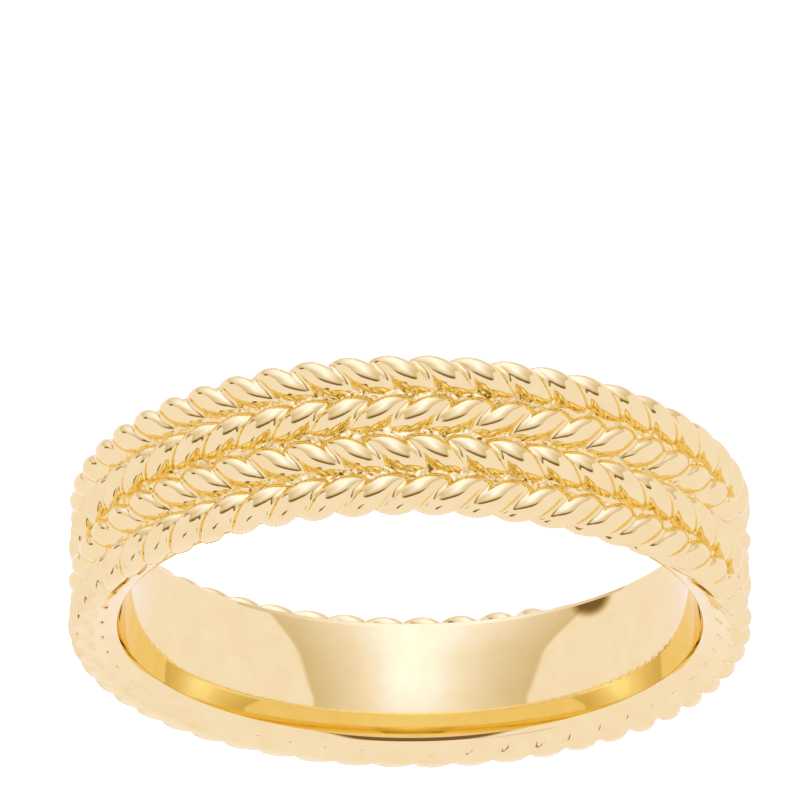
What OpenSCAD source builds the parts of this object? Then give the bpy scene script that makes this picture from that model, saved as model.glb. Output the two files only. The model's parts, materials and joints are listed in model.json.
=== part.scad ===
// Rope band ring: four two-strand ropes, twisted by turns left and right, lie side by side
// round a smooth inner band. The finger hole is slightly domed and bevelled at its edges,
// and the ring's two sides are polished nearly smooth. The ring is cast in one piece.
// The axis of the finger hole is Z. The ring lies on its side, its lowest lobes at Z = 0.

/* [Finger hole] */
// Diameter of the finger hole at mid-width
hole_d = 16.8; // [15:0.1:20]
// Length of the straight middle stretch of the hole
hole_straight = 1; // [0.6:0.1:1.4]
// How much wider in radius the hole is where its bevels start
hole_flare = 0.135; // [0.1:0.005:0.2]
// Distance between the hole's two edges along the axis
edge_distance = 3.84; // [3.6:0.02:3.9]
// Length of the bevel at each edge, along the axis
bevel_length = 0.17; // [0.1:0.01:0.3]
// How much the bevel widens the hole in radius
bevel_rise = 0.08; // [0.05:0.01:0.15]

/* [Ropes] */
// Distance from one rope's centre to the next
rope_pitch = 1.24; // [1.2:0.01:1.4]
// Thickness of one rope over its ridges
rope_d = 1.25; // [1.2:0.01:1.36]
// Distance of the rope centres from the wall of the hole
rope_offset = 1.05; // [0.95:0.01:1.15]
// Radius that the outer ropes are polished down to on the ring's sides
side_r = 0.55; // [0.54:0.01:0.6]

/* [Strands] */
// Lobes once round the ring on each rope, its two strands taken together
lobe_count = 51; // [40:1:60]
// Distance of a strand's centre from its rope's centre
strand_offset = 0.2; // [0.1:0.01:0.25]
// Width of a strand, across the rope's radius
strand_w = 0.96; // [0.9:0.01:1.1]

/* [Hidden] */
$fn = 96;

rope_count = 4;
rope_r = rope_d / 2;
hole_r = hole_d / 2;
edge_z = edge_distance / 2;
// Circle of the rope centres
centre_r = hole_r + rope_offset;
// Share of the lobes' relief that polishing leaves on the ring's sides
side_relief = 0.3;
// Middle of the band above the lowest lobes
mid_z = (rope_count - 1) / 2 * rope_pitch + side_r + side_relief * (rope_r - side_r);
// Height of the bevels' inner edges above mid-width
bevel_z = edge_z - bevel_length;
// Radius of the arc that flares the hole
flare_len = bevel_z - hole_straight / 2;
flare_r = (flare_len * flare_len + hole_flare * hole_flare) / (2 * hole_flare);
// Inner wall of the casting before the hole is finished, and where the bevels' slope meets it
core_r = hole_r - 0.4;
edge_r = hole_r + hole_flare + bevel_rise;
core_z = edge_z - (edge_r - core_r) * bevel_length / bevel_rise;
// Least distance of a lobe from the plane between two ropes
lobe_gap = 0.015;
// Half thickness of a strand along the rope's radius
strand_half_t = rope_r - strand_offset;
// How far each rope's twist is turned at the start of the ring, lowest rope first
twist_start = [100, 10, 65, 178];
// Steps round a rope and along it, which put a point on each ridge and in each groove
rope_step = 45;
ring_step = rope_step / (lobe_count / 2);
steps = 360 / ring_step;
// Shaped stretch of each rope as [first angle, last angle], 0 facing outwards and 90 along Z
rope_spans = [[-135, 90], [-90, 90], [-90, 90], [-90, 135]];

// Distance from the rope's centre to the surface of a strand with an oval section,
// at angle b from the strand's ridge
function strand_reach(b) =
    let (c = abs(cos(b)),
         q = pow(c / strand_half_t, 2) + pow(sin(b) / (strand_w / 2), 2),
         h = strand_offset * c / pow(strand_half_t, 2))
    (h + sqrt(h * h + q * (1 - pow(strand_offset / strand_half_t, 2)))) / q;

function rope_z(i) = (i - (rope_count - 1) / 2) * rope_pitch;

// Twist sense, by turns left and right
function twist(i) = i % 2 == 0 ? -1 : 1;

// Angle round the ring of step s on rope i, moved so that the steps meet the ridges
function step_angle(i, s) =
    ring_step * s - ((twist_start[i] + rope_step / 2) % rope_step - rope_step / 2) / (lobe_count / 2);

// Angle round rope i of a strand's ridge, at angle t round the ring
function ridge_angle(i, t) = twist(i) * (lobe_count / 2 * t + twist_start[i]);

function ring_point(r, t, z) = [r * cos(t), r * sin(t), z];

// Point of rope i's surface at angle a round the rope, at step s round the ring
function rope_point(i, a, s) =
    let (t = step_angle(i, s),
         outer = i == 0 && a < 0 || i == rope_count - 1 && a > 0,
         lobed = strand_reach(a - ridge_angle(i, t)),
         reach = outer && abs(a) >= 90 ? side_r + side_relief * (lobed - side_r) : lobed,
         rise = outer ? reach * sin(a) : sign(a) * min(reach * abs(sin(a)), rope_pitch / 2 - lobe_gap))
    ring_point(centre_r + reach * cos(a), t, rope_z(i) + rise);

function rope_points(i, s) =
    [for (a = [rope_spans[i][0] : rope_step : rope_spans[i][1]]) rope_point(i, a, s)];

// Closed outline of the casting at step s round the ring, from its lower edge to its upper one.
// Between two ropes it runs straight, as the floor of the valley.
function outline(s) = [
    ring_point(core_r, ring_step * s, -core_z),
    ring_point(edge_r, ring_step * s, -edge_z),
    for (i = [0 : rope_count - 1]) each rope_points(i, s),
    ring_point(edge_r, ring_step * s, edge_z),
    ring_point(core_r, ring_step * s, core_z)];

// Number of outline points that come before rope i
function points_before(i) = i == 0 ? 2 :
    points_before(i - 1) + (rope_spans[i - 1][1] - rope_spans[i - 1][0]) / rope_step + 1;

// Rope that the outline's edge after point k belongs to
function edge_rope(k) = len([for (i = [1 : rope_count - 1]) if (k >= points_before(i)) i]);

// Band with its ropes, and a rough hole that the finger hole widens.
// Each four-sided patch is split along its rope's twist, so ridges and grooves run unbroken.
module rope_casting() {
    outlines = [for (s = [0 : steps - 1]) outline(s)];
    n = len(outlines[0]);
    faces = [for (s = [0 : steps - 1]) for (k = [0 : n - 1])
        let (a = s * n + k,
             b = s * n + (k + 1) % n,
             c = (s + 1) % steps * n + (k + 1) % n,
             d = (s + 1) % steps * n + k)
        each twist(edge_rope(k)) < 0 ? [[a, b, d], [b, c, d]] : [[a, b, c], [a, c, d]]];
    polyhedron([for (o = outlines) each o], faces);
}

// Void of the finger hole: a straight cylinder that flares in an arc towards both edges
module finger_hole() {
    top_z = edge_z + 0.1;
    rotate_extrude() difference() {
        translate([0, -top_z]) square([edge_r, 2 * top_z]);
        translate([hole_r, -hole_straight / 2]) square([flare_r, hole_straight]);
        for (side = [-1, 1])
            translate([hole_r + flare_r, side * hole_straight / 2]) circle(r = flare_r);
    }
}

module ring_band() {
    color("gold") translate([0, 0, mid_z]) difference() {
        rope_casting();
        finger_hole();
    }
}

ring_band();
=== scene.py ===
# %% [markdown]
# # A rope band ring in polished gold colour
# The ring is one casting: four ropes of two strands each lie side by side round a smooth
# inner band, and their twist turns left and right by turns, so that the lobes meet in
# points like ears of wheat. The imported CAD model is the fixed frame, and the pieces made
# here stand exactly where it stands. Lengths below are millimetres, turned into metres.

# %% Load the frame
import json
import math
import bmesh
import bpy
from mathutils import Matrix, Vector

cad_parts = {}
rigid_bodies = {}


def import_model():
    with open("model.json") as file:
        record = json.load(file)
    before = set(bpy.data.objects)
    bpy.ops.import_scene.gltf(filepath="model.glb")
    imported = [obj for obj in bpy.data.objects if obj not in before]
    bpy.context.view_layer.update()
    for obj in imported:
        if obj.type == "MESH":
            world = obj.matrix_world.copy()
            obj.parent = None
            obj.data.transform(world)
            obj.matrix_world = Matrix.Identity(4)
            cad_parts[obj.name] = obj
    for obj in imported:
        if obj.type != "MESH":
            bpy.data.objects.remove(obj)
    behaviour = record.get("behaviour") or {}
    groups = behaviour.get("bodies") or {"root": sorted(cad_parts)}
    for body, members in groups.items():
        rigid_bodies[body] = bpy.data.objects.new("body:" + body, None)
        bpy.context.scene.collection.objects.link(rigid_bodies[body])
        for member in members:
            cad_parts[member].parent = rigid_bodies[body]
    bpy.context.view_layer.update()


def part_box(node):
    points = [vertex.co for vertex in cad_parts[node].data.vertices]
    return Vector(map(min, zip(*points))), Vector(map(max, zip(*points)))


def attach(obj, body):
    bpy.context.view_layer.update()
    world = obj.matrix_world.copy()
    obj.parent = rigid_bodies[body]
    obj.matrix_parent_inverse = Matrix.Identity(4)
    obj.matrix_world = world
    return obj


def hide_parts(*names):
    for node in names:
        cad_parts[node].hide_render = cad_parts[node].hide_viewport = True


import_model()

MM = 0.001
low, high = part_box("ring_band")
mid_z = (low[2] + high[2]) / 2
print("CAD box in mm:", [round(v / MM, 3) for v in (*low, *high)])

# %% [markdown]
# ## Camera
# The photograph was taken with a long lens from about 34 cm, 25 degrees above the plane of
# the ring, and it shows the ring standing. Here the ring lies on its side, so the camera
# keeps that angle to the ring but is rolled half a turn: up in the picture is down here.
# The view could be found by hand. Working it out from the size of a pixel at the ring is
# surer, because the frame then needs no lens shift.

# %% The camera
IMAGE = 800                      # pixels along each side of the picture
PIXEL = 0.02951 * MM             # size of a pixel at the middle of the ring
DISTANCE = 11500 * PIXEL
ELEVATION = math.radians(24.65)
RING_AT = (409.9, 567.6)         # where the middle of the ring falls in the picture
SENSOR = 36                      # width of the camera's sensor in mm

look = Vector((0, math.cos(ELEVATION), -math.sin(ELEVATION)))
right = Vector((1, 0, 0))
up = Vector((0, math.sin(ELEVATION), math.cos(ELEVATION)))
off_x, off_y = (RING_AT[0] - IMAGE / 2) * PIXEL, (RING_AT[1] - IMAGE / 2) * PIXEL
place = Vector((0, 0, mid_z)) - look * DISTANCE + right * off_x - up * off_y
rolled = Matrix((-right, -up, -look)).transposed()

camera_data = bpy.data.cameras.new("camera")
camera_data.sensor_width = SENSOR
camera_data.lens = SENSOR * DISTANCE / (IMAGE * PIXEL)
camera_data.clip_start, camera_data.clip_end = 0.01, 20
camera = bpy.data.objects.new("camera", camera_data)
camera.matrix_world = Matrix.Translation(place) @ rolled.to_4x4()
bpy.context.scene.collection.objects.link(camera)
bpy.context.scene.camera = camera
print("lens", round(camera_data.lens, 1), "mm at", round(DISTANCE, 4), "m")

# %% [markdown]
# ## One rope
# Each rope is two strands laid round each other. Its section is two ovals that overlap, and
# the section turns half a turn from one lobe to the next. A spiral of spheres or a carved
# cylinder would need every lobe placed by hand. Sweeping the section along a straight line
# with a Screw and then bending the straight rope into a ring keeps every lobe alike.

# %% Values of the ropes
LOBES = 51                       # once round the ring, the two strands taken together
TURNS = LOBES / 2                # of the strands round each other
ROPE_R = 0.625
STRAND_OFFSET = 0.2              # from the rope's centre to the strand's
STRAND_HALF_T = ROPE_R - STRAND_OFFSET
STRAND_HALF_W = 0.46
ROPE_PITCH = 1.24                # from one rope's centre to the next
CENTRE_R = 9.45                  # circle of the rope centres
GROOVE_FILLET = 0.15             # rounds the bottom of the groove between two strands
FILLET_STEPS = 4
SECTION_POINTS = 28
STEPS_PER_LOBE = 9
TOUCHING = 1e-7                  # in metres: points that are closer count as one
SEAM = 1e-6                      # the same, where the bent rope's two ends meet


# %% Helpers for selecting and for edit mode
def active():
    return bpy.context.view_layer.objects.active


def mode(name):
    bpy.ops.object.mode_set(mode=name)


def nothing_selected():
    if bpy.context.mode != "OBJECT":
        mode("OBJECT")
    bpy.ops.object.select_all(action="DESELECT")


def edit_all():
    mode("EDIT")
    bpy.ops.mesh.select_all(action="SELECT")


# %% The section: half an oval, turned over to make the second strand
def rope_section():
    nothing_selected()
    bpy.ops.mesh.primitive_circle_add(vertices=SECTION_POINTS, radius=MM,
                                      rotation=(0, math.pi / 2, 0))
    bpy.ops.object.transform_apply(location=True, rotation=True, scale=True)
    section = active()
    edit_all()
    bpy.ops.transform.resize(value=(1, STRAND_HALF_T, STRAND_HALF_W))
    bpy.ops.transform.translate(value=(0, -STRAND_OFFSET * MM, 0))
    bpy.ops.mesh.bisect(plane_co=(0, 0, 0), plane_no=(0, 1, 0), clear_outer=True,
                        threshold=TOUCHING)
    bpy.ops.mesh.select_all(action="SELECT")
    bpy.ops.mesh.duplicate()
    bpy.ops.transform.rotate(value=math.pi, orient_axis="X", center_override=(0, 0, 0))
    bpy.ops.mesh.select_all(action="SELECT")
    bpy.ops.mesh.remove_doubles(threshold=TOUCHING)
    bpy.ops.mesh.select_all(action="DESELECT")
    mode("OBJECT")
    return section


# %% Round the two grooves where the strands meet
def round_grooves(section):
    # The points beside each groove make room for its fillet
    for v in section.data.vertices:
        v.select = TOUCHING < abs(v.co.y) < GROOVE_FILLET * MM
    mode("EDIT")
    bpy.ops.mesh.dissolve_verts()
    mode("OBJECT")
    for v in section.data.vertices:
        v.select = abs(v.co.y) < TOUCHING
    mode("EDIT")
    bpy.ops.mesh.bevel(offset=GROOVE_FILLET * MM, segments=FILLET_STEPS, affect="VERTICES")
    mode("OBJECT")


# %% Sweep the section into a straight rope, then bend it into a ring
def bent_rope(name, twist, start, height):
    """twist is +1 or -1; start is the rope's phase in degrees; height is above the middle."""
    rope = rope_section()
    rope.name = name
    round_grooves(rope)
    sweep = rope.modifiers.new("sweep", "SCREW")
    sweep.axis = "X"
    sweep.angle = -twist * math.pi
    sweep.screw_offset = 2 * math.pi * CENTRE_R * MM / LOBES
    sweep.iterations = LOBES
    sweep.steps = sweep.render_steps = STEPS_PER_LOBE
    bpy.ops.object.modifier_apply(modifier="sweep")
    bend = rope.modifiers.new("bend", "SIMPLE_DEFORM")
    bend.deform_method = "BEND"
    bend.deform_axis = "Z"
    bend.angle = 2 * math.pi
    bpy.ops.object.modifier_apply(modifier="bend")
    # Before it is turned, the rope has a ridge facing outwards at its seam, at -90 degrees
    turned = math.radians(90 * TURNS - start) / TURNS
    edit_all()
    bpy.ops.mesh.remove_doubles(threshold=SEAM)
    bpy.ops.transform.translate(value=(0, -CENTRE_R * MM, height * MM))
    bpy.ops.transform.rotate(value=-turned, orient_axis="Z", center_override=(0, 0, 0))
    bpy.ops.transform.translate(value=(0, 0, mid_z))
    bpy.ops.mesh.normals_make_consistent(inside=False)
    mode("OBJECT")
    return rope


# %% Four ropes, twisted left and right by turns
ROPE_START = (100, 10, 65, 178)  # the phase of each rope, lowest rope first


def open_edges(piece):
    mesh = bmesh.new()
    mesh.from_mesh(piece.data)
    count = sum(not e.is_manifold for e in mesh.edges)
    mesh.free()
    return count


ropes = []
for i, start in enumerate(ROPE_START):
    height = (i - 1.5) * ROPE_PITCH
    ropes.append(bent_rope(f"rope_{i + 1}", (-1, 1)[i % 2], start, height))
print("faces in a rope:", len(ropes[0].data.polygons), "open edges:", open_edges(ropes[0]))

# %% [markdown]
# ## The polished side
# One side of the ring was held against a polishing wheel: it is worn most at the far end of
# the photograph and on its left, where the lobes nearly vanish, and hardly at all at the
# near end. A flat cut would leave a hard edge round every lobe. Drawing whatever stands out
# of a smooth tilted wheel back onto its face keeps the lobes whole and only lowers them. The
# other side just loses the tips of its lobes, where the ring rests. A second, sloping wheel
# evens the flanks that lead down to the hole. It spares the lobes that the photograph shows
# against the hole, at the near end of the one side and at the far end of the other.

# %% Values of the wheels: their faces as (radius, height above the middle)
CREST_R, CREST = 9.5, 2.38       # where the domed face stands highest
FALL_IN, FALL_OUT = 0.281, 0.08  # how fast the face falls from there, inwards and outwards
TILT_FAR, TILT_LEFT = 0.1, 0.08  # how much lower the wheel stands there
WHEEL_IN, WHEEL_OUT = 8, 10.9
DOMED = [(r, CREST - (FALL_IN if r < CREST_R else FALL_OUT) * (CREST_R - r) ** 2)
         for r in (WHEEL_IN, 8.4, 8.7, 8.9, 9.1, 9.3, CREST_R, 9.8, WHEEL_OUT)]
SLOPING = [(WHEEL_IN, 1.7), (8.6, 1.9), (8.75, 1.97), (8.9, 2.03), (9, 2.068), (9.06, 2.1),
           (9.2, 2.18), (9.35, 2.28), (9.5, 2.4), (9.7, 2.6), (WHEEL_OUT, 2.6)]
REST_Z = 2.43                    # height that the side on the floor is worn down to
LEVEL = [(WHEEL_IN, REST_Z), (WHEEL_OUT, REST_Z)]
WHEEL_BACK = [(WHEEL_OUT, 0.4), (WHEEL_IN, 0.4)]
WHEEL_POINTS = 10 * LOBES


# %% Faces in a fixed order
def put_in_order(body):
    """Write the faces again, sorted by their points. Extrude leaves them in an order that
    changes from run to run, and the unions would then differ in their last digits."""
    faces = [list(face.vertices) for face in body.data.polygons]
    faces = [f[f.index(min(f)):] + f[:f.index(min(f))] for f in faces]
    points = [v.co.copy() for v in body.data.vertices]
    body.data.clear_geometry()
    body.data.from_pydata(points, [], sorted(faces))


# %% A body turned from a profile
def body_of_rings(name, profile, points_round):
    """Extrude a circle along a closed profile of (radius, height above mid-width)."""
    nothing_selected()
    bpy.ops.mesh.primitive_circle_add(vertices=points_round, radius=profile[0][0] * MM,
                                      location=(0, 0, mid_z + profile[0][1] * MM))
    bpy.ops.object.transform_apply(location=True, rotation=True, scale=True)
    body = active()
    body.name = name
    edit_all()
    for (r0, z0), (r1, z1) in zip(profile, profile[1:] + profile[:1]):
        bpy.ops.mesh.extrude_edges_move()
        bpy.ops.transform.translate(value=(0, 0, (z1 - z0) * MM))
        bpy.ops.transform.resize(value=(r1 / r0, r1 / r0, 1), center_override=(0, 0, 0))
    bpy.ops.mesh.select_all(action="SELECT")
    bpy.ops.mesh.remove_doubles(threshold=TOUCHING)
    bpy.ops.mesh.normals_make_consistent(inside=False)
    mode("OBJECT")
    put_in_order(body)
    return body


# %% Hold a rope against a wheel
def polish(rope, side, face, tilt_far=0, tilt_left=0, share=lambda way: 1):
    """side is 1 for the upper side and -1 for the lower one. share tells how strongly the
    wheel bears, by the direction from the middle of the ring."""
    profile = [(r, side * z) for r, z in face + WHEEL_BACK]
    wheel = body_of_rings("wheel", profile, WHEEL_POINTS)
    mode("EDIT")
    for axis, drop in (("X", tilt_far), ("Y", -tilt_left)):
        bpy.ops.transform.rotate(value=side * math.atan(drop / CENTRE_R), orient_axis=axis,
                                 center_override=(0, 0, mid_z))
    mode("OBJECT")
    group = rope.vertex_groups.new(name="worn")
    for v in rope.data.vertices:
        group.add([v.index], share(v.co.xy.normalized()), "REPLACE")
    press = rope.modifiers.new("press", "SHRINKWRAP")
    press.target = wheel
    press.wrap_mode = "INSIDE"
    press.vertex_group = "worn"
    nothing_selected()
    bpy.context.view_layer.objects.active = rope
    bpy.ops.object.modifier_apply(modifier="press")
    bpy.data.objects.remove(wheel)
    rope.vertex_groups.clear()


# %% Where the sloping wheel bears
def ease(x, start, stop):
    """0 up to start, rising smoothly to 1 at stop."""
    t = min(max((x - start) / (stop - start), 0), 1)
    return t * t * (3 - 2 * t)


def all_but_near_end(way):
    return ease(way.y, -0.8, -0.35)


def all_but_far_end(way):
    return max(ease(way.y, 0.5, 0), ease(way.x, -0.35, -0.55))


# %% Polish the two outer ropes
def crest_at(rope, way):
    """Height above the middle, at the near end for 1 and at the far end for -1."""
    return round(max(v.co.z for v in rope.data.vertices
                     if way * v.co.y < -8 * MM) / MM - mid_z / MM, 3)


upper, lower = ropes[3], ropes[0]
polish(upper, 1, SLOPING, share=all_but_near_end)
polish(upper, 1, DOMED, TILT_FAR, TILT_LEFT)
polish(lower, -1, SLOPING, share=all_but_far_end)
polish(lower, -1, LEVEL)
print("crest of the polished side, near and far:", crest_at(upper, 1), crest_at(upper, -1))

# %% [markdown]
# ## The inner band
# The band that carries the ropes is smooth inside. Its hole widens in a shallow arc towards
# both edges and is bevelled there, so that it slips over a finger. From each edge a smooth
# rim climbs gently to the outer rope. A Boolean cut would do, but extruding one circle along
# the profile and scaling it at each step gives clean rings of faces that catch the light
# evenly.

# %% Values of the band
HOLE_R = 8.4
DOME_R = 9.85                    # radius of the arc that domes the wall of the hole
WALL_ROWS = 10                   # rings of faces on half of the wall
BEVEL_START_Z, EDGE_Z = 1.81, 1.92
BEVEL_RISE = 0.045
ROUNDING = 0.07                  # radius that softens the outer edge of the bevel
ROUNDING_STEPS = (38, 52, 65)    # angles of its points, in degrees
CORNER = 0.02                    # keeps the corners crisp in the smooth shading
RIM = [(8.76, 1.993), (8.86, 2.03), (8.96, 2.056), (9.04, 2.07)]
HIDDEN_R = CENTRE_R - 0.1        # the band ends inside the ropes
BAND_POINTS = 384


# %% The profile of the band, from the middle of the hole round to the middle again
def arc_point(z):
    return HOLE_R + DOME_R - math.sqrt(DOME_R ** 2 - z ** 2), z


def between(a, b, distance):
    share = distance / math.dist(a, b)
    return a[0] + (b[0] - a[0]) * share, a[1] + (b[1] - a[1]) * share


bevel_start = arc_point(BEVEL_START_Z)
edge = (bevel_start[0] + BEVEL_RISE, EDGE_Z)
bevel_tilt = math.atan2(BEVEL_RISE, EDGE_Z - BEVEL_START_Z)
rounding = [(edge[0] + ROUNDING * (math.cos(bevel_tilt) - math.cos(a)),
             edge[1] + ROUNDING * (math.sin(a) - math.sin(bevel_tilt)))
            for a in (bevel_tilt, *(math.radians(d) for d in ROUNDING_STEPS))]
half = [arc_point(BEVEL_START_Z * (k + 0.5) / WALL_ROWS) for k in range(WALL_ROWS)]
half += [arc_point(BEVEL_START_Z - CORNER), bevel_start, between(bevel_start, edge, CORNER)]
half += rounding + RIM + [(RIM[-1][0], EDGE_Z), (HIDDEN_R, EDGE_Z)]
band_profile = half + [(r, -z) for r, z in reversed(half)]
band = body_of_rings("band", band_profile, BAND_POINTS)
print("band faces:", len(band.data.polygons), "open edges:", open_edges(band))

# %% [markdown]
# ## Rough valley floors
# No polishing wheel reaches the valleys between the ropes, so the casting's grainy skin is
# left there. The grain is coarse enough to break the outline of the floors, so it is moved
# geometry and not a bump.

# %% Three valley floors with a grainy skin
VALLEY_R, VALLEY_BACK_R = CENTRE_R + 0.15, CENTRE_R - 0.2
VALLEY_ROWS = (0.3, 0.18, 0.12, 0.06, 0, -0.06, -0.12, -0.18, -0.3)
VALLEY_POINTS = 15 * LOBES
GRAIN_SIZE, GRAIN_DEPTH = 0.13, 0.13

grain = bpy.data.textures.new("grain", "VORONOI")
grain.noise_scale = GRAIN_SIZE * MM
floors = []
for i in (-1, 0, 1):
    rows = [(VALLEY_R, i * ROPE_PITCH + z) for z in VALLEY_ROWS]
    back = [(VALLEY_BACK_R, rows[-1][1]), (VALLEY_BACK_R, rows[0][1])]
    valley = body_of_rings(f"valley_{i + 2}", rows + back, VALLEY_POINTS)
    rough = valley.modifiers.new("rough", "DISPLACE")
    rough.texture = grain
    rough.texture_coords = "LOCAL"
    rough.strength = GRAIN_DEPTH * MM
    rough.mid_level = 0.5
    bpy.ops.object.modifier_apply(modifier="rough")
    floors.append(valley)
print("faces in a valley floor:", len(floors[0].data.polygons))

# %% [markdown]
# ## One casting
# The real ring has no joints, so the ropes and the band become one closed mesh. Joining them
# without a union would be quicker, but their hidden walls would stay inside the metal. Where
# grains of the valley floors just touch a rope, the union leaves a few loose flakes that have
# no thickness. They are found as what isn't linked to the largest face, and are deleted.

# %% Join by union
for piece in floors + ropes:
    union = band.modifiers.new("union", "BOOLEAN")
    union.operation = "UNION"
    union.solver = "MANIFOLD"
    union.object = piece
    nothing_selected()
    bpy.context.view_layer.objects.active = band
    band.select_set(True)
    bpy.ops.object.modifier_apply(modifier="union")
    bpy.data.objects.remove(piece)
ring = band
ring.name = "ring_of_ropes"
print("vertices with loose flakes:", len(ring.data.vertices))

# %% Keep the one shell that holds the largest face
mode("EDIT")
bpy.ops.mesh.select_all(action="DESELECT")
mode("OBJECT")
max(ring.data.polygons, key=lambda face: face.area).select = True
mode("EDIT")
bpy.ops.mesh.select_linked()
bpy.ops.mesh.select_all(action="INVERT")
bpy.ops.mesh.delete(type="VERT")
mode("OBJECT")
print("vertices without them:", len(ring.data.vertices))
mesh = bmesh.new()
mesh.from_mesh(ring.data)
print("ring triangles:", sum(len(f.verts) - 2 for f in mesh.faces),
      "volume mm3:", round(mesh.calc_volume() / MM ** 3, 1), "open edges:", open_edges(ring))
mesh.free()

# %% [markdown]
# ## The metal
# The ring is polished all over in one pale, warm gold colour. Its base colour is deeper than
# the ring looks, because polished metal shows mostly the bright room. One even finish would
# look like plastic, so faint clouds vary both the polish and the tone. They are procedural,
# because a picture would carry its own reflections along. The ropes keep a deeper gold than
# the smooth hole where one looks along the metal.

# %% Values of the gold
HOLE_GLANCE, ROPE_GLANCE = (1, 0.96, 0.84), (1, 0.94, 0.76)
HOLE_ENDS_R, ROPES_START_R = 8.7, 9.2
CLOUD_SIZE = 0.7
BRIGHT_GOLD, DEEP_GOLD = (0.95, 0.775, 0.315), (0.93, 0.745, 0.285)
LOW_ROUGHNESS, ADDED_ROUGHNESS = 0.03, 0.04
SMOOTH_UP_TO = math.radians(35)  # sharper edges stay crisp in the shading


# %% Helpers for nodes
def feed(socket, value):
    """Link another node's output to the socket, or set the socket's own value."""
    if isinstance(value, bpy.types.NodeSocket):
        socket.id_data.links.new(value, socket)
    else:
        socket.default_value = value


def add_node(tree, kind, inputs, **settings):
    node = tree.nodes.new("ShaderNode" + kind)
    for name, value in settings.items():
        setattr(node, name, value)
    for key, value in inputs.items():
        feed(node.inputs[key], value)
    return node


def colour_ramp(tree, share, stops):
    """Colours by share, from a list of (place from 0 to 1, colour)."""
    node = add_node(tree, "ValToRGB", {"Fac": share})
    elements = node.color_ramp.elements
    while len(elements) < len(stops):
        elements.new(0.5)
    for element, (at, colour) in zip(elements, stops):
        element.position = at
        element.color = (*colour, 1)
    return node.outputs["Color"]


# %% The gold at a glancing angle, by distance from the axis
nothing_selected()
ring.select_set(True)
bpy.context.view_layer.objects.active = ring
bpy.ops.object.shade_smooth_by_angle(angle=SMOOTH_UP_TO)
gold = bpy.data.materials.new("gold")
gold.use_nodes = True
tree = gold.node_tree
shader = tree.nodes["Principled BSDF"]
shader.inputs["Metallic"].default_value = 1
spot = add_node(tree, "TexCoord", {}).outputs["Object"]
flat = add_node(tree, "VectorMath", {0: spot, 1: (1, 1, 0)}, operation="MULTIPLY")
radius = add_node(tree, "VectorMath", {0: flat.outputs[0]}, operation="LENGTH")
outside = add_node(tree, "MapRange", {"Value": radius.outputs["Value"],
                                      "From Min": HOLE_ENDS_R * MM,
                                      "From Max": ROPES_START_R * MM},
                   interpolation_type="SMOOTHSTEP")
feed(shader.inputs["Specular Tint"],
     colour_ramp(tree, outside.outputs["Result"], [(0, HOLE_GLANCE), (1, ROPE_GLANCE)]))
print("nodes in the gold so far:", len(tree.nodes))

# %% Hand polishing leaves faint clouds of a duller and slightly deeper gold
clouds = add_node(tree, "TexNoise", {"Vector": spot, "Scale": 1 / (CLOUD_SIZE * MM),
                                     "Detail": 3}).outputs["Fac"]
duller = add_node(tree, "Math", {0: clouds, 1: ADDED_ROUGHNESS, 2: LOW_ROUGHNESS},
                  operation="MULTIPLY_ADD")
feed(shader.inputs["Roughness"], duller.outputs["Value"])
feed(shader.inputs["Base Color"],
     colour_ramp(tree, clouds, [(0.35, BRIGHT_GOLD), (0.65, DEEP_GOLD)]))
ring.data.materials.clear()
ring.data.materials.append(gold)
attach(ring, "root")
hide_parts("ring_band")
print("materials on the ring:", [m.name for m in ring.data.materials])

# %% [markdown]
# ## The floor
# The photograph has a plain white ground with hardly a shadow. A floor lit only by the room
# comes out grey, so this one glows white by itself. The metal doesn't mirror it: it would
# show there as one flat band, where the real ring shows warm gold.

# %% Floor
FLOOR_SIZE = 4                   # in metres

nothing_selected()
bpy.ops.mesh.primitive_plane_add(size=FLOOR_SIZE)
floor = active()
floor.name = "floor"
pale = bpy.data.materials.new("pale_floor")
pale.use_nodes = True
for name, value in (("Base Color", (0.95, 0.95, 0.95, 1)), ("Roughness", 1),
                    ("Specular IOR Level", 0), ("Emission Color", (1, 1, 1, 1)),
                    ("Emission Strength", 1)):
    feed(pale.node_tree.nodes["Principled BSDF"].inputs[name], value)
floor.data.materials.append(pale)
floor.visible_glossy = False
print("floor size in m:", [round(v, 2) for v in floor.dimensions])

# %% [markdown]
# ## The light
# Polished metal shows the room and little else, so the room is made with care. Lamps would
# give small hard glints, but the lobes in the photograph mirror one broad soft card that is
# brightest in its middle and has a dim border. The card is drawn in the world by direction,
# so that it has no distance and every lobe mirrors it alike. Two dim patches stand for the
# dark things that show at the edge of the hole and on the ropes' upper flanks.

# %% Directions of the world, in degrees
scene = bpy.context.scene
scene.view_settings.view_transform = "Standard"
world = bpy.data.worlds.new("studio")
scene.world = world
world.use_nodes = True
studio = world.node_tree


def math_node(operation, a, b=0.0):
    return add_node(studio, "Math", {0: a, 1: b}, operation=operation).outputs[0]


def plus(a, b):
    return math_node("ADD", a, b)


def minus(a, b):
    return math_node("SUBTRACT", a, b)


def times(a, b):
    return math_node("MULTIPLY", a, b)


direction = add_node(studio, "TexCoord", {}).outputs["Generated"]
axes = add_node(studio, "SeparateXYZ", {0: direction}).outputs
radians = math_node("ARCTAN2", axes["X"], times(axes["Y"], -1))
azimuth = times(radians, math.degrees(1))           # 0 towards the camera
elevation = times(math_node("ARCSINE", axes["Z"]), math.degrees(1))
print("nodes for the directions:", len(studio.nodes))

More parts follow.
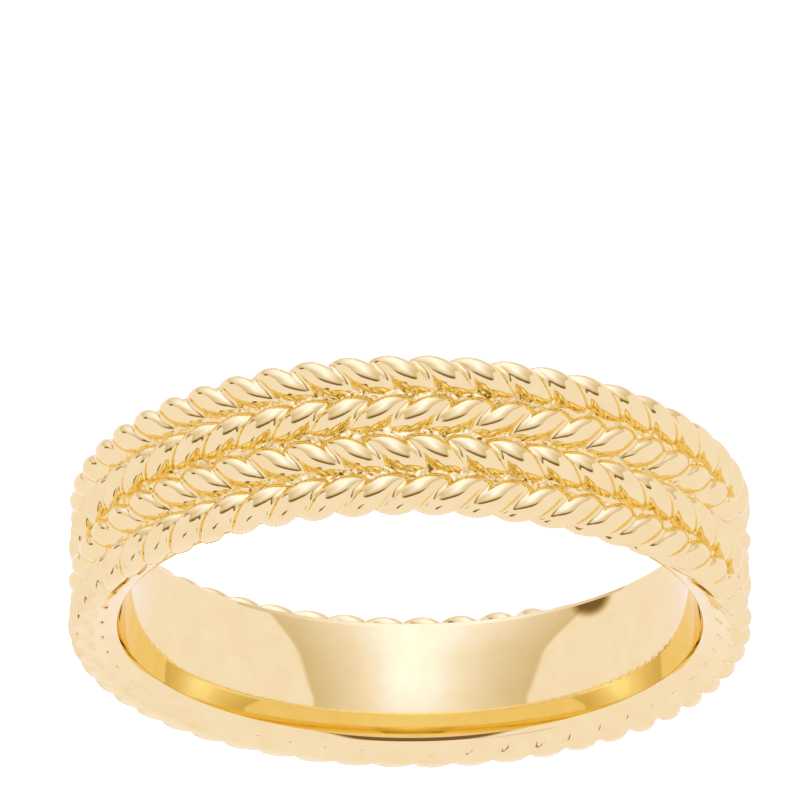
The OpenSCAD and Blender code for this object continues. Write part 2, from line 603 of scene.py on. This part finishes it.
# %% Values of the card, in degrees
CARD_MIDDLE, CARD_TOP = -26, 33
CARD_HALF = (39, 48)             # half its width, towards low x and towards high x
WIDER_FROM, WIDER_BY = -14, (0.55, 0.7)             # degrees for each degree below
FOOT_FROM, FOOT_BY = -27, (0.06, 0.15)              # and for each degree squared
SQUARENESS = 3                   # 2 would draw an oval
LOW_CARD_TO, HIGH_CARD_FROM = 2, 20
# Brightness by distance from the middle, 1 at the card's edge
LOW_CARD = [(0, 1.5), (0.15, 1.36), (0.28, 1.13), (0.42, 0.99), (0.56, 0.89), (0.75, 0.8),
            (0.97, 0.72), (1.01, 1), (1.5, 1)]
HIGH_CARD = [(0, 1.5), (0.15, 1.36), (0.28, 1.13), (0.42, 0.98), (0.57, 0.85), (0.73, 0.52),
             (0.84, 0.17), (0.94, 0.19), (1.02, 1), (1.5, 1)]


# %% Helpers for the card
def smooth(value, start, stop):
    """1 up to start, falling smoothly to 0 at stop."""
    return add_node(studio, "MapRange", {"Value": value, "From Min": start, "From Max": stop,
                                         "To Min": 1, "To Max": 0},
                    interpolation_type="SMOOTHSTEP").outputs["Result"]


def ramp(value, stops):
    """Colours by value, from a list of (value, colour)."""
    top = max(at for at, _ in stops)
    return colour_ramp(studio, math_node("DIVIDE", value, top),
                       [(at / top, colour) for at, colour in stops])


def grey_ramp(value, stops):
    return ramp(value, [(at, (grey, grey, grey)) for at, grey in stops])


def mix(share, a, b):
    return add_node(studio, "MixRGB", {"Fac": share, "Color1": a, "Color2": b}).outputs["Color"]


# %% A bright card stands in front: round on top, wider below, with a dim border
below = math_node("MAXIMUM", minus(WIDER_FROM, elevation), 0)
foot = math_node("MAXIMUM", minus(FOOT_FROM, elevation), 0)
foot = times(foot, foot)
low_x, high_x = (plus(plus(half_width, times(below, wider)), times(foot, foot_by))
                 for half_width, wider, foot_by in zip(CARD_HALF, WIDER_BY, FOOT_BY))
is_high_x = math_node("GREATER_THAN", azimuth, 0)
half_card = plus(low_x, times(is_high_x, minus(high_x, low_x)))
above = math_node("MAXIMUM", minus(elevation, CARD_MIDDLE), 0)
across = math_node("POWER", math_node("DIVIDE", math_node("ABSOLUTE", azimuth), half_card),
                   SQUARENESS)
along = math_node("POWER", math_node("DIVIDE", above, CARD_TOP - CARD_MIDDLE), SQUARENESS)
outwards = math_node("POWER", plus(across, along), 1 / SQUARENESS)
card = mix(smooth(elevation, LOW_CARD_TO, HIGH_CARD_FROM),
           grey_ramp(outwards, HIGH_CARD), grey_ramp(outwards, LOW_CARD))
print("nodes with the card:", len(studio.nodes))

# %% Values of the dim patches and of the light behind
# Azimuth and elevation of a patch, half its width and height, and its strength
HOLE_PATCH = (88, -40, 12, 6, 0.8)
FLANK_PATCH = (80, 65, 42, 6, 0.75)
BEHIND_FROM, BEHIND_TO = 165, 125
LIFT_UP_TO, LIFT_GONE_AT, LIFT = 8, 40, 0.08
# Where the light is dim it is warm, and where it is bright it is cool
TINTS = [(0.1, (0.17, 0.11, 0.07)), (0.25, (0.23, 0.14, 0.08)), (0.5, (0.5, 0.41, 0.36)),
         (0.72, (0.72, 0.64, 0.7)), (0.82, (0.82, 0.75, 1)), (1, (0.98, 0.95, 1.48)),
         (1.2, (1.05, 1.13, 2.1)), (1.9, (1.7, 1.6, 3))]
WHITE = (1, 1, 1, 1)


# %% Dim the patches, lift the light behind, and tint it all
def patch(az, el, half_az, half_el, strength):
    """Darkens a soft oval patch of the surroundings."""
    x = math_node("DIVIDE", minus(azimuth, az), half_az)
    y = math_node("DIVIDE", minus(elevation, el), half_el)
    return minus(1, times(smooth(plus(times(x, x), times(y, y)), 0.2, 1.2), strength))


light = times(times(card, patch(*HOLE_PATCH)), patch(*FLANK_PATCH))
# Behind the ring it is brighter low down, where the sides are seen at a glancing angle
behind = smooth(math_node("ABSOLUTE", azimuth), BEHIND_FROM, BEHIND_TO)
lift = times(behind, smooth(elevation, LIFT_UP_TO, LIFT_GONE_AT))
light = times(light, plus(1, times(lift, LIFT)))
# The camera itself sees plain white behind the floor
seen = add_node(studio, "LightPath", {}).outputs["Is Camera Ray"]
feed(studio.nodes["Background"].inputs["Color"], mix(seen, ramp(light, TINTS), WHITE))
print("nodes in the world:", len(studio.nodes))
